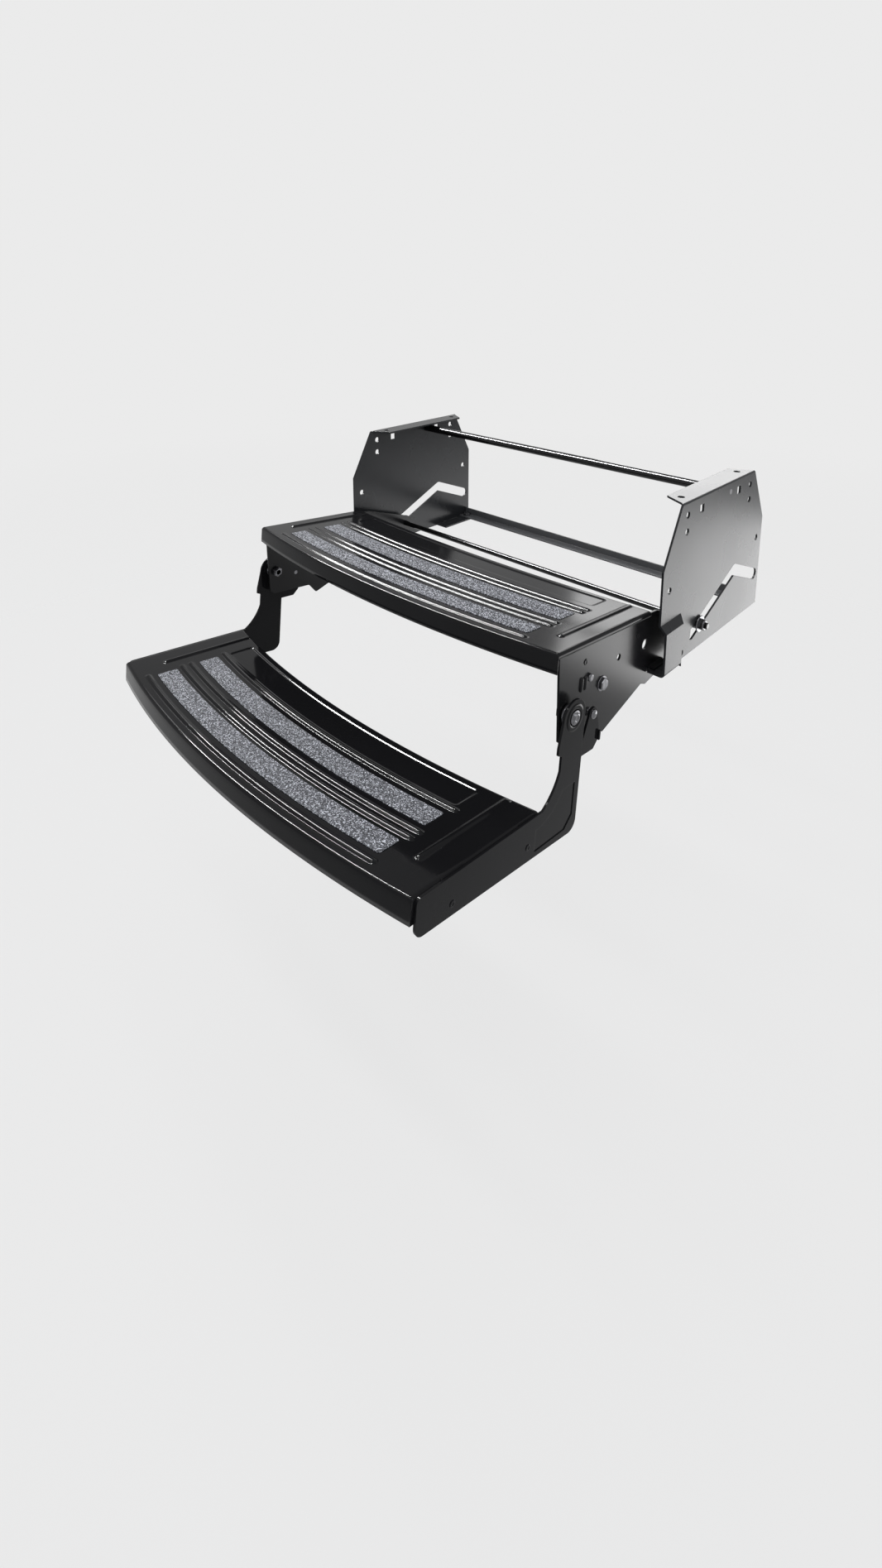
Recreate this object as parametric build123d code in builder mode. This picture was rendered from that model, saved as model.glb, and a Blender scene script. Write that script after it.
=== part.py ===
from build123d import *
import math
import os

os.makedirs("parts", exist_ok=True)

# Frame: +X to the right of someone facing the caravan, +Y towards the caravan, +Z up.
# The origin is the centre of the four top flange bolt holes, on the flanges' top face.

# Materials and fits
plate_thickness = 3.0
sheet_thickness = 2.0
running_gap = 0.2
side_clearance = 1.0
slot_clearance = 0.35
pin_clearance = 0.05
bolt_clearance = 0.15
grip_clearance = 0.15
overrun = 5.0

# Overall steps
upper_tread_width = 609.6
upper_tread_top_z = -154.5
step_rise = 177.8
step_run = 227.0
fold_gap = 13.0
step_tilt = 5.6
bracket_side_gap = 1.2

# Side bracket outline, centred on y = 0
bracket_length = 322.0
bracket_top_length = 233.0
bracket_height = 233.0
bracket_shoulder_drop = 84.5
bracket_corner_radius = 8.0
top_flange_width = 35.0
top_flange_end_bevel = 20.0
top_flange_hole_spacing = 180.0
top_flange_hole_radius = 5.0
bottom_flange_width = 30.0
bottom_flange_start_y = 62.0
joggle_length = 56.0
joggle_height = 73.0
joggle_offset = 9.5
joggle_slope = 9.0
joggle_wall_margin = 1.3
foot_bend_radius = 7.0

# Side bracket holes
corner_hole_inset = 14.9
corner_hole_pitch = 24.0
corner_hole_drop = 19.0
corner_hole_radius = 5.0
square_hole_spacing = 121.0
square_hole_size = 11.5
square_hole_drop = 19.0
shoulder_hole_inset = 19.0
shoulder_hole_drop = 115.5
shoulder_hole_radius = 5.0
foot_hole_radius = 4.0
foot_hole_inset = 67.0
foot_hole_rise = 9.0

# Bent slot that guides the slide rod
slot_width = 18.0
slot_low_y = -66.2
slot_low_drop = 205.2
slot_knee_margin = 10.1
slot_front_angle = 23.5
slot_rear_margin = 16.5
slot_rear_angle = -21.3
slot_reserve = 22.0
slide_travel = 112.0

# Rods and bars between the brackets
top_rod_radius = 7.0
top_rod_y = 32.0
top_rod_drop = 16.0
rod_bolt_radius = 4.0
rear_bar_depth = 22.0
rear_bar_height = 15.0
rear_bar_wall = 2.5
rear_bar_inset = 6.0
slide_rod_radius = 4.75
nut_height = 7.0
bolt_head_height = 5.0
washer_thickness = 2.0
nut_radius = 8.5
washer_radius = 10.5
rod_thread_stub = 4.0

# Tread outlines: the front and rear edges are shallow arcs
upper_front_y = -408.0
upper_front_bulge = 30.5
upper_rear_y = -179.0
upper_rear_bulge = 16.0
lower_front_bulge = 33.0
lower_rear_bulge = 34.0
lower_tread_depth = 200.5
upper_apron_depth = 25.5
lower_apron_depth = 29.0
side_lip_depth = 7.5
tread_edge_radius = 4.0

# Tread pressings, measured back from the front edge at the centre line
recess_depth = 0.8
recess_corner_radius = 2.5
grip_thickness = 1.5
grip_end_margin = 58.8
front_bead_back = 17.5
first_grip_back = 30.0
first_grip_depth = 30.0
upper_grip_spacing = 69.5
upper_second_grip_depth = 36.0
lower_grip_spacing = 66.0
lower_second_grip_depth = 31.0
bead_width = 8.0
bead_height = 2.6
bead_edge_radius = 1.2
bead_overhang = 8.0
bead_pair_spacing = 14.0
upper_middle_beads_back = 80.5
lower_middle_beads_back = 77.0
upper_rear_beads_back = 153.5
lower_rear_bead_back = 139.5
upper_recess_back = 181.0
upper_recess_depth = 36.0
lower_recess_back = 148.0
lower_recess_depth = 40.0
recess_setback = 2.0
side_bead_offset = 31.0
side_bead_front_back = 48.5
side_bead_rear_margin = 5.0

# Upper side plate
plate_front_setback = 19.0
plate_front_radius = 8.0
plate_front_lean = 13.5
plate_pivot_drop = 112.0
plate_toe_drop = 118.0
plate_toe_step = 8.0
plate_tip_back = 98.0
plate_tip_drop = 134.5
plate_notch_back = 82.0
plate_belly_back = 189.0
plate_belly_drop = 98.3
plate_heel_back = 201.0
plate_heel_drop = 102.2
plate_tail_radius = 15.0
plate_tail_drop = 32.0
plate_slope_start_back = 212.5
rest_tab_length = 34.0
rest_tab_reach = 11.5
rest_tab_inset = 6.0
side_hole_radius = 4.5
side_hole_back = 122.5
side_hole_drop = 41.0
large_hole_radius = 7.0
large_hole_back = 189.5
large_hole_drop = 42.0
rib_width = 4.0
rib_height = 14.0
rib_relief = 1.8
rib_back = 38.5
rib_pitch = 8.5
rib_drop = 52.0

# Pivots, stops and latches on the side plates
pivot_setback = 10.5
pivot_radius = 5.0
pivot_head_radius = 9.0
pivot_head_height = 3.5
pivot_washer_thickness = 9.8
pivot_washer_radius = 12.0
stop_bolt_back = 86.5
stop_bolt_drop = 65.0
plate_stud_back = 55.0
plate_stud_drop = 47.0
plate_stud_radius = 5.0
plate_stud_height = 4.0
latch_pin_radius = 3.5
latch_pin_back = 51.5
latch_pin_drop = 88.5
latch_hub_radius = 9.0
latch_foot_height = 20.0
latch_foot_drop = 47.0
latch_foot_rear = 16.0
latch_step = 5.0
latch_thumb_reach = 6.0
latch_thumb_height = 12.0
pin_head_radius = 6.0
pin_head_height = 2.5

# Step arm, measured from its pivot
arm_top_radius = 22.0
arm_rear_reach = 22.0
arm_front_reach = 27.6
arm_shoulder_top = 30.0
arm_shoulder_low = 38.0
arm_waist_reach = 20.5
arm_waist_drop = 60.0
arm_crook_reach = 32.8
arm_crook_drop = 82.8
arm_throat_reach = 49.0
arm_heel_radius = 14.0
arm_heel_bottom = 151.5
arm_nose_bottom = 140.6
arm_nose_setback = 5.0
arm_nose_radius = 12.0
arm_top_edge_drop = 1.6
emboss_margin = 9.0
emboss_relief = 1.0
emboss_top_drop = 86.0
emboss_bottom_drop = 142.0
emboss_front_reach = 60.0

# Rivets through the sheet and plate edges
rivet_radius = 2.4
rivet_head_radius = 4.0
rivet_head_height = 0.8
upper_rivet_front_back = 43.5
upper_rivet_rear_back = 167.5
upper_rivet_drop = 24.3
flange_tab_depth = 32.0
lower_tab_extra = 10.0
lower_rivet_front_back = 57.0
lower_rivet_rear_back = 180.7
lower_rivet_drop = 34.0

# Worked out from the sizes above
upper_half = upper_tread_width / 2
plate_outer_x = upper_half - sheet_thickness
plate_inner_x = plate_outer_x - plate_thickness
arm_inner_x = plate_outer_x + pivot_washer_thickness + running_gap
arm_outer_x = arm_inner_x + plate_thickness
lower_half = arm_inner_x
grip_half_length = upper_half - grip_end_margin
bead_half_length = grip_half_length + bead_overhang
recess_half_length = grip_half_length - recess_setback
side_bead_x = grip_half_length + side_bead_offset
bracket_inner_x = arm_outer_x + bracket_side_gap
bracket_outer_x = bracket_inner_x + plate_thickness
lower_tread_top_z = upper_tread_top_z - step_rise
lower_front_y = upper_front_y - step_run
plate_top_z = upper_tread_top_z - tread_edge_radius
plate_front_y = upper_front_y + upper_front_bulge + plate_front_setback
plate_tip_y = plate_front_y + plate_tip_back
plate_notch_y = plate_front_y + plate_notch_back
plate_belly_y = plate_front_y + plate_belly_back
plate_heel_y = plate_front_y + plate_heel_back
plate_slope_start_y = plate_front_y + plate_slope_start_back
side_hole_y = plate_front_y + side_hole_back
large_hole_y = plate_front_y + large_hole_back
rib_y = plate_front_y + rib_back
stop_bolt_y = plate_front_y + stop_bolt_back
plate_stud_y = plate_front_y + plate_stud_back
latch_pin_y = plate_front_y + latch_pin_back
upper_rivet_front_y = plate_front_y + upper_rivet_front_back
upper_rivet_rear_y = plate_front_y + upper_rivet_rear_back
pivot_y = plate_front_y + pivot_setback
pivot_z = (upper_tread_top_z + lower_tread_top_z + fold_gap) / 2
bracket_front_y = -bracket_length / 2
bracket_bottom_z = -bracket_height
shoulder_hole_spacing = bracket_length - 2 * shoulder_hole_inset
corner_hole_spacing = bracket_top_length - 2 * corner_hole_inset
foot_hole_y = bracket_front_y + foot_hole_inset
slot_front_leg = slot_reserve + slide_travel + slot_knee_margin
slot_knee_y = slot_low_y + slot_front_leg * math.cos(math.radians(slot_front_angle))
slot_low_z = -slot_low_drop
slot_knee_z = slot_low_z + slot_front_leg * math.sin(math.radians(slot_front_angle))
slot_rear_y = bracket_length / 2 - slot_rear_margin
slot_rear_z = slot_knee_z + (slot_rear_y - slot_knee_y) * math.tan(math.radians(slot_rear_angle))
slide_rod_y = slot_low_y + slot_reserve * math.cos(math.radians(slot_front_angle))
slide_rod_z = slot_low_z + slot_reserve * math.sin(math.radians(slot_front_angle))
slot_bush_radius = slot_width / 2 - slot_clearance
lower_rivet_front_y = lower_front_y + lower_front_bulge + lower_rivet_front_back
lower_rivet_rear_y = lower_front_y + lower_front_bulge + lower_rivet_rear_back
lower_rivet_z = lower_tread_top_z - lower_rivet_drop
latch_pin_z = plate_top_z - latch_pin_drop
stop_bolt_z = plate_top_z - stop_bolt_drop
plate_stud_z = plate_top_z - plate_stud_drop
sides = (("left", -1), ("right", 1))


def side_plane(x):
    """A plane square to X: its first direction is +Y and its second is +Z."""
    return Plane(origin=(x, 0, 0), x_dir=(0, 1, 0), z_dir=(1, 0, 0))


def layer_plane(sign, inner, thickness):
    """The plane at the lower X face of a layer that starts at inner on the given side."""
    return side_plane(inner if sign > 0 else -(inner + thickness))


def curved_band(half_length, front, depth, front_bulge, rear_bulge, half_width):
    """A strip between two arcs: each bulges forward at the centre by its bulge over half_width."""
    reach = (half_length / half_width) ** 2
    rear = front + depth
    with BuildSketch() as band:
        with BuildLine():
            front_end = front + front_bulge * reach
            rear_end = rear + rear_bulge * reach
            ThreePointArc((-half_length, front_end), (0, front), (half_length, front_end))
            Line((half_length, front_end), (half_length, rear_end))
            ThreePointArc((half_length, rear_end), (0, rear), (-half_length, rear_end))
            Line((-half_length, rear_end), (-half_length, front_end))
        make_face()
    return band.sketch


def bulge_at(back, depth, front_bulge, rear_bulge):
    """The bulge of a line that lies this far behind the front edge."""
    return front_bulge + (rear_bulge - front_bulge) * back / depth


def corner(sketch, across, up):
    """The sketch's vertex nearest to this place in its own plane."""
    return sketch.vertices().sort_by_distance((across, up, 0))[0]


def save(part, name):
    part.label = name
    export_step(part, "parts/" + name + ".step")


def save_step(part, name):
    """Saves a piece of the moving step, which is drawn level and hangs nose up on its slide rod."""
    slide_axis = Axis((0, slide_rod_y, slide_rod_z), (1, 0, 0))
    save(part.rotate(slide_axis, -step_tilt), name)


# Side brackets: one bent plate each, with flanges turned inwards

for side, sign in sides:
    with BuildPart() as bracket:
        with BuildSketch(layer_plane(sign, bracket_inner_x, plate_thickness)) as outline:
            with BuildLine():
                Polyline(
                    (-bracket_top_length / 2, 0),
                    (bracket_top_length / 2, 0),
                    (bracket_length / 2, -bracket_shoulder_drop),
                    (bracket_length / 2, bracket_bottom_z),
                    (-bracket_length / 2, bracket_bottom_z),
                    (-bracket_length / 2, -bracket_shoulder_drop),
                    close=True,
                )
            make_face()
            fillet(outline.vertices().sort_by(Axis.Y)[0:2], bracket_corner_radius)
        extrude(amount=plate_thickness)
        # The front foot of the plate steps outwards over a slope, to clear the sliding step
        for inner_x, margin, outside, mode in (
            (bracket_outer_x, 0, 0, Mode.ADD),
            (bracket_inner_x, joggle_wall_margin, overrun, Mode.SUBTRACT),
        ):
            for reach, slope in ((0, 0), (joggle_offset, joggle_slope)):
                length = joggle_length - slope - margin + outside
                height = joggle_height - slope - margin + outside
                with BuildSketch(side_plane(sign * (inner_x + reach))):
                    with Locations(
                        (bracket_front_y - outside + length / 2, bracket_bottom_z - outside + height / 2)
                    ):
                        Rectangle(length, height)
            loft(ruled=True, mode=mode)
        # Top flange, with bevelled ends and two bolt holes
        with BuildSketch(Plane.XY.offset(-plate_thickness)):
            with BuildLine():
                Polyline(
                    (sign * bracket_outer_x, -bracket_top_length / 2),
                    (sign * bracket_outer_x, bracket_top_length / 2),
                    (sign * (bracket_outer_x - top_flange_width),
                     bracket_top_length / 2 - top_flange_end_bevel),
                    (sign * (bracket_outer_x - top_flange_width),
                     -bracket_top_length / 2 + top_flange_end_bevel),
                    close=True,
                )
            make_face()
            with Locations(
                *[
                    (sign * (bracket_outer_x - top_flange_width / 2), end * top_flange_hole_spacing / 2)
                    for end in (-1, 1)
                ]
            ):
                Circle(top_flange_hole_radius, mode=Mode.SUBTRACT)
        extrude(amount=plate_thickness)
        # Bottom flange at the rear, and the rest lip at the front foot
        bottom_flange_length = bracket_length / 2 - bottom_flange_start_y
        lip_inner_x = plate_outer_x + side_clearance
        lip_outer_x = bracket_outer_x + joggle_offset
        rest_lip_length = joggle_length - joggle_slope
        with BuildSketch(Plane.XY.offset(bracket_bottom_z)):
            with Locations(
                (sign * (bracket_outer_x - bottom_flange_width / 2),
                 bottom_flange_start_y + bottom_flange_length / 2)
            ):
                Rectangle(bottom_flange_width, bottom_flange_length)
            with Locations(
                (sign * (lip_inner_x + lip_outer_x) / 2, bracket_front_y + rest_lip_length / 2)
            ):
                Rectangle(lip_outer_x - lip_inner_x, rest_lip_length)
        extrude(amount=plate_thickness)
        # The foot's wall bends round into its lip
        foot_plane = Plane(origin=(0, bracket_front_y, 0), x_dir=(sign, 0, 0), z_dir=(0, -sign, 0))
        bend_centre = (lip_outer_x - foot_bend_radius, bracket_bottom_z + foot_bend_radius)
        with BuildSketch(foot_plane):
            with Locations(bend_centre):
                Rectangle(foot_bend_radius, foot_bend_radius, align=(Align.MIN, Align.MAX))
        extrude(amount=-sign * rest_lip_length, mode=Mode.SUBTRACT)
        with BuildSketch(foot_plane):
            with Locations(bend_centre):
                Circle(foot_bend_radius)
                Circle(foot_bend_radius - plate_thickness, mode=Mode.SUBTRACT)
                Rectangle(
                    foot_bend_radius, foot_bend_radius, align=(Align.MIN, Align.MAX),
                    mode=Mode.INTERSECT,
                )
        extrude(amount=-sign * rest_lip_length)
        # Bent slot and the fixing holes
        with BuildSketch(layer_plane(sign, bracket_inner_x - overrun, plate_thickness + 2 * overrun)):
            with BuildLine():
                Polyline(
                    (slot_low_y, slot_low_z), (slot_knee_y, slot_knee_z), (slot_rear_y, slot_rear_z)
                )
                offset(amount=slot_width / 2, kind=Kind.ARC)
            make_face()
            for end in (-1, 1):
                with Locations(
                    (end * corner_hole_spacing / 2, -corner_hole_drop),
                    (end * corner_hole_spacing / 2, -corner_hole_drop - corner_hole_pitch),
                ):
                    Circle(corner_hole_radius)
                with Locations((end * square_hole_spacing / 2, -square_hole_drop)):
                    Rectangle(square_hole_size, square_hole_size)
                with Locations((end * shoulder_hole_spacing / 2, -shoulder_hole_drop)):
                    Circle(shoulder_hole_radius)
            with Locations((top_rod_y, -top_rod_drop)):
                Circle(rod_bolt_radius + bolt_clearance)
            with Locations((foot_hole_y, bracket_bottom_z + foot_hole_rise)):
                Circle(foot_hole_radius)
        extrude(amount=plate_thickness + 2 * overrun, mode=Mode.SUBTRACT)
        top_edge = bracket.edges().filter_by(Axis.Y).group_by(Axis.Z)[-1].sort_by(
            lambda edge: abs(edge.center().X)
        )[-1]
        fillet(top_edge, plate_thickness - running_gap)
    save(bracket.part, side + "_side_bracket")

# Top cross rod and the pins that hold its ends, flush with the brackets outside

with BuildPart() as top_cross_rod:
    with BuildSketch(side_plane(-bracket_inner_x)):
        with Locations((top_rod_y, -top_rod_drop)):
            Circle(top_rod_radius)
    extrude(amount=2 * bracket_inner_x)
    with BuildSketch(side_plane(-bracket_inner_x)):
        with Locations((top_rod_y, -top_rod_drop)):
            Circle(rod_bolt_radius)
    extrude(amount=2 * bracket_inner_x, mode=Mode.SUBTRACT)
save(top_cross_rod.part, "top_cross_rod")

with BuildPart() as top_rod_pins:
    for side, sign in sides:
        pin_length = top_flange_width + plate_thickness
        with BuildSketch(layer_plane(sign, bracket_outer_x - pin_length, pin_length)):
            with Locations((top_rod_y, -top_rod_drop)):
                Circle(rod_bolt_radius)
        extrude(amount=pin_length)
save(top_rod_pins.part, "top_rod_pins")

# Rear cross bar: an angle bar that lies on the two bottom flanges

rear_bar_y = bracket_length / 2 - rear_bar_inset - rear_bar_depth
rear_bar_z = bracket_bottom_z + plate_thickness
rear_bolt_x = bracket_outer_x - bottom_flange_width / 2
rear_bolt_y = rear_bar_y + (rear_bar_depth - rear_bar_wall) / 2

with BuildPart() as rear_cross_bar:
    with BuildSketch(side_plane(-bracket_inner_x)):
        with BuildLine():
            Polyline(
                (rear_bar_y, rear_bar_z),
                (rear_bar_y + rear_bar_depth, rear_bar_z),
                (rear_bar_y + rear_bar_depth, rear_bar_z + rear_bar_height),
                (rear_bar_y + rear_bar_depth - rear_bar_wall, rear_bar_z + rear_bar_height),
                (rear_bar_y + rear_bar_depth - rear_bar_wall, rear_bar_z + rear_bar_wall),
                (rear_bar_y, rear_bar_z + rear_bar_wall),
                close=True,
            )
        make_face()
    extrude(amount=2 * bracket_inner_x)
    with BuildSketch(Plane.XY.offset(rear_bar_z)):
        with Locations((-rear_bolt_x, rear_bolt_y), (rear_bolt_x, rear_bolt_y)):
            Circle(rod_bolt_radius)
    extrude(amount=rear_bar_wall, mode=Mode.SUBTRACT)
save(rear_cross_bar.part, "rear_cross_bar")

with BuildPart() as rear_bar_bolts:
    for side, sign in sides:
        with BuildSketch(Plane.XY.offset(rear_bar_z + rear_bar_wall)):
            with Locations((sign * rear_bolt_x, rear_bolt_y)):
                RegularPolygon(nut_radius, 6)
        extrude(amount=bolt_head_height)
        with BuildSketch(Plane.XY.offset(rear_bar_z)):
            with Locations((sign * rear_bolt_x, rear_bolt_y)):
                Circle(rod_bolt_radius)
        extrude(amount=rear_bar_wall)
save(rear_bar_bolts.part, "rear_bar_bolts")


# Treads: a pressed sheet with a deep front apron, short side lips and raised beads


def tread_block(half, front, depth, front_bulge, rear_bulge, top, height, radius):
    """A solid of the tread's plan shape whose top edges are rounded."""
    with BuildPart() as block:
        with BuildSketch(Plane.XY.offset(top - height)):
            add(curved_band(half, front, depth, front_bulge, rear_bulge, half))
        extrude(amount=height)
        fillet(block.edges().group_by(Axis.Z)[-1], radius)
    return block.part


treads = (
    ("upper", upper_half, upper_front_y, upper_rear_y - upper_front_y, upper_front_bulge,
     upper_rear_bulge, upper_tread_top_z, upper_apron_depth,
     (first_grip_back + upper_grip_spacing, upper_second_grip_depth), upper_middle_beads_back,
     (upper_rear_beads_back - bead_pair_spacing / 2, upper_rear_beads_back + bead_pair_spacing / 2),
     (upper_recess_back, upper_recess_depth)),
    ("lower", lower_half, lower_front_y, lower_tread_depth, lower_front_bulge,
     lower_rear_bulge, lower_tread_top_z, lower_apron_depth,
     (first_grip_back + lower_grip_spacing, lower_second_grip_depth), lower_middle_beads_back,
     (lower_rear_bead_back,), (lower_recess_back, lower_recess_depth)),
)

for (level, half, front, depth, front_bulge, rear_bulge, top, apron, second_grip, middle_back,
     rear_beads, rear_recess) in treads:
    outer = tread_block(half, front, depth, front_bulge, rear_bulge, top, apron, tread_edge_radius)
    inner = tread_block(
        half - sheet_thickness, front + sheet_thickness, depth - 2 * sheet_thickness,
        front_bulge, rear_bulge, top - sheet_thickness, apron,
        tread_edge_radius - sheet_thickness,
    )
    grips = (("front", first_grip_back, first_grip_depth), ("rear",) + second_grip)
    with BuildPart() as tread:
        add(outer)
        add(inner, mode=Mode.SUBTRACT)
        # Behind the apron the edges are only short lips, but the lower tread keeps its side skirts
        corner_y = front + front_bulge + tread_edge_radius
        cut_half = half + overrun if level == "upper" else half - sheet_thickness
        with BuildSketch(Plane.XY.offset(top - apron)):
            with Locations((0, corner_y + depth / 2)):
                Rectangle(2 * cut_half, depth)
        extrude(amount=apron - side_lip_depth, mode=Mode.SUBTRACT)
        # Pressed recesses for the two grips and the plain rear field
        for back, run, half_length in (
            (first_grip_back, first_grip_depth, grip_half_length),
            second_grip + (grip_half_length,),
            rear_recess + (recess_half_length,),
        ):
            with BuildSketch(Plane.XY.offset(top - recess_depth)) as recess:
                add(curved_band(half_length, front + back, run,
                                bulge_at(back, depth, front_bulge, rear_bulge),
                                bulge_at(back + run, depth, front_bulge, rear_bulge), half))
                fillet(recess.vertices(), recess_corner_radius)
            extrude(amount=recess_depth, mode=Mode.SUBTRACT)
        # Raised beads that follow the front edge
        middle_beads = (middle_back - bead_pair_spacing / 2, middle_back + bead_pair_spacing / 2)
        for back in (front_bead_back,) + middle_beads + rear_beads:
            with BuildSketch(Plane.XY.offset(top - recess_depth)) as bead:
                bulge = bulge_at(back, depth, front_bulge, rear_bulge)
                add(curved_band(bead_half_length, front + back - bead_width / 2, bead_width,
                                bulge, bulge, half))
                fillet(bead.vertices(), bead_width / 2 - bead_edge_radius)
            extrude(amount=recess_depth + bead_height)
        # One short bead along each side
        side_bead_length = depth - side_bead_front_back - side_bead_rear_margin
        with BuildSketch(Plane.XY.offset(top - recess_depth)):
            with Locations(
                *[
                    (sign * side_bead_x, front + side_bead_front_back + side_bead_length / 2)
                    for sign in (-1, 1)
                ]
            ):
                SlotOverall(side_bead_length, bead_width, rotation=90)
        extrude(amount=recess_depth + bead_height)
        fillet(tread.edges().group_by(Axis.Z)[-1], bead_edge_radius)
        # Tabs that carry the rivets inside the side plates or the arms
        tab_top_z = top - sheet_thickness
        if level == "upper":
            tab_outer_x = plate_inner_x
            rivets = (upper_rivet_front_y, upper_rivet_rear_y, plate_top_z - upper_rivet_drop)
            tab_depth = flange_tab_depth
        else:
            tab_outer_x = half
            rivets = (lower_rivet_front_y, lower_rivet_rear_y, lower_rivet_z)
            tab_depth = flange_tab_depth + lower_tab_extra
        for sign in (-1, 1):
            with BuildSketch(layer_plane(sign, tab_outer_x - sheet_thickness, sheet_thickness)):
                with Locations(
                    (rivets[0], tab_top_z - tab_depth / 2), (rivets[1], tab_top_z - tab_depth / 2)
                ):
                    Rectangle(flange_tab_depth, tab_depth)
                with Locations((rivets[0], rivets[2]), (rivets[1], rivets[2])):
                    Circle(rivet_radius, mode=Mode.SUBTRACT)
            extrude(amount=sheet_thickness)
            if level == "upper":
                # The rear lip is notched where the side plate passes it
                notch_width = plate_thickness + side_clearance
                with BuildSketch(layer_plane(sign, plate_outer_x - notch_width, notch_width)):
                    with Locations((upper_rear_y + upper_rear_bulge, plate_top_z - side_lip_depth / 2)):
                        Rectangle(2 * side_lip_depth, side_lip_depth)
                extrude(amount=notch_width, mode=Mode.SUBTRACT)
    save_step(tread.part, level + "_tread")
    for order, back, run in grips:
        with BuildPart() as grip:
            with BuildSketch(Plane.XY.offset(top - recess_depth)) as pad:
                add(curved_band(grip_half_length - grip_clearance, front + back + grip_clearance,
                                run - 2 * grip_clearance,
                                bulge_at(back, depth, front_bulge, rear_bulge),
                                bulge_at(back + run, depth, front_bulge, rear_bulge),
                                half))
                fillet(pad.vertices(), recess_corner_radius - grip_clearance)
            extrude(amount=grip_thickness)
        save_step(grip.part, level + "_grip_" + order)


# Upper side plates: they carry the upper tread, the lower step's pivots and the slide rod

rest_tab_y = bracket_front_y + rest_tab_inset + rest_tab_length / 2
rest_tab_z = bracket_bottom_z + plate_thickness + running_gap + plate_thickness / 2
rest_tab_reach_y = rest_tab_y - slide_rod_y
rest_tab_reach_z = rest_tab_z - slide_rod_z
tilt_cos = math.cos(math.radians(step_tilt))
tilt_sin = math.sin(math.radians(step_tilt))
heel_z = plate_top_z - plate_heel_drop

for side, sign in sides:
    with BuildPart() as plate:
        with BuildSketch(layer_plane(sign, plate_inner_x, plate_thickness)) as outline:
            with BuildLine():
                Polyline(
                    (plate_front_y - plate_front_lean, plate_top_z),
                    (plate_slope_start_y, plate_top_z),
                    (slide_rod_y, slide_rod_z + plate_tail_radius),
                    (slide_rod_y + plate_tail_radius, slide_rod_z),
                    (slide_rod_y + plate_tail_radius, slide_rod_z - plate_tail_drop),
                    (plate_heel_y, heel_z),
                    (plate_belly_y, plate_top_z - plate_belly_drop),
                    (plate_tip_y, plate_top_z - plate_tip_drop),
                    (plate_notch_y, plate_top_z - plate_toe_drop),
                    (plate_front_y + plate_toe_step, plate_top_z - plate_toe_drop),
                    (plate_front_y, plate_top_z - plate_pivot_drop),
                    close=True,
                )
            make_face()
            fillet(corner(outline, plate_front_y - plate_front_lean, plate_top_z), plate_front_radius)
            fillet(corner(outline, plate_tip_y, plate_top_z - plate_tip_drop), plate_toe_step / 2)
            fillet(corner(outline, plate_notch_y, plate_top_z - plate_toe_drop), plate_toe_step)
            with Locations((slide_rod_y, slide_rod_z)):
                Circle(plate_tail_radius)
                Circle(slide_rod_radius, mode=Mode.SUBTRACT)
            with Locations((pivot_y, pivot_z)):
                Circle(pivot_radius, mode=Mode.SUBTRACT)
            with Locations((latch_pin_y, latch_pin_z)):
                Circle(latch_pin_radius, mode=Mode.SUBTRACT)
            with Locations((stop_bolt_y, stop_bolt_z)):
                Circle(rod_bolt_radius, mode=Mode.SUBTRACT)
            with Locations((plate_stud_y, plate_stud_z)):
                Circle(latch_pin_radius, mode=Mode.SUBTRACT)
            with Locations((side_hole_y, plate_top_z - side_hole_drop)):
                Circle(side_hole_radius, mode=Mode.SUBTRACT)
            with Locations((large_hole_y, plate_top_z - large_hole_drop)):
                Circle(large_hole_radius, mode=Mode.SUBTRACT)
            with Locations(
                (upper_rivet_front_y, plate_top_z - upper_rivet_drop),
                (upper_rivet_rear_y, plate_top_z - upper_rivet_drop),
            ):
                Circle(rivet_radius, mode=Mode.SUBTRACT)
        extrude(amount=plate_thickness)
        # The tab that rests level on the bracket's lip
        with BuildSketch(layer_plane(sign, plate_inner_x, rest_tab_reach)):
            with Locations(
                (slide_rod_y + rest_tab_reach_y * tilt_cos - rest_tab_reach_z * tilt_sin,
                 slide_rod_z + rest_tab_reach_y * tilt_sin + rest_tab_reach_z * tilt_cos)
            ):
                Rectangle(rest_tab_length, plate_thickness, rotation=step_tilt)
        extrude(amount=rest_tab_reach)
        # Two pressed ribs beside the pivot
        with BuildSketch(layer_plane(sign, plate_outer_x, rib_relief)):
            with Locations(
                (rib_y, plate_top_z - rib_drop), (rib_y + rib_pitch, plate_top_z - rib_drop)
            ):
                SlotOverall(rib_height, rib_width, rotation=90)
        extrude(amount=rib_relief)
    save_step(plate.part, side + "_upper_side_plate")

# Rivets that hold the upper tread to the side plates

with BuildPart() as upper_tread_rivets:
    for side, sign in sides:
        shank_inner = plate_inner_x - sheet_thickness
        shank_length = sheet_thickness + plate_thickness
        for y in (upper_rivet_front_y, upper_rivet_rear_y):
            with BuildSketch(layer_plane(sign, shank_inner, shank_length)):
                with Locations((y, plate_top_z - upper_rivet_drop)):
                    Circle(rivet_radius)
            extrude(amount=shank_length)
            for head_inner in (plate_outer_x, shank_inner - rivet_head_height):
                with BuildSketch(layer_plane(sign, head_inner, rivet_head_height)):
                    with Locations((y, plate_top_z - upper_rivet_drop)):
                        Circle(rivet_head_radius)
                extrude(amount=rivet_head_height)
save_step(upper_tread_rivets.part, "upper_tread_rivets")

# Slide rod with its bushes, washers and nuts

bush_length = bracket_outer_x + side_clearance - plate_outer_x
washer_inner_x = plate_outer_x + bush_length
nut_inner_x = washer_inner_x + washer_thickness
slide_rod_length = 2 * (nut_inner_x + nut_height + rod_thread_stub)

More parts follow.
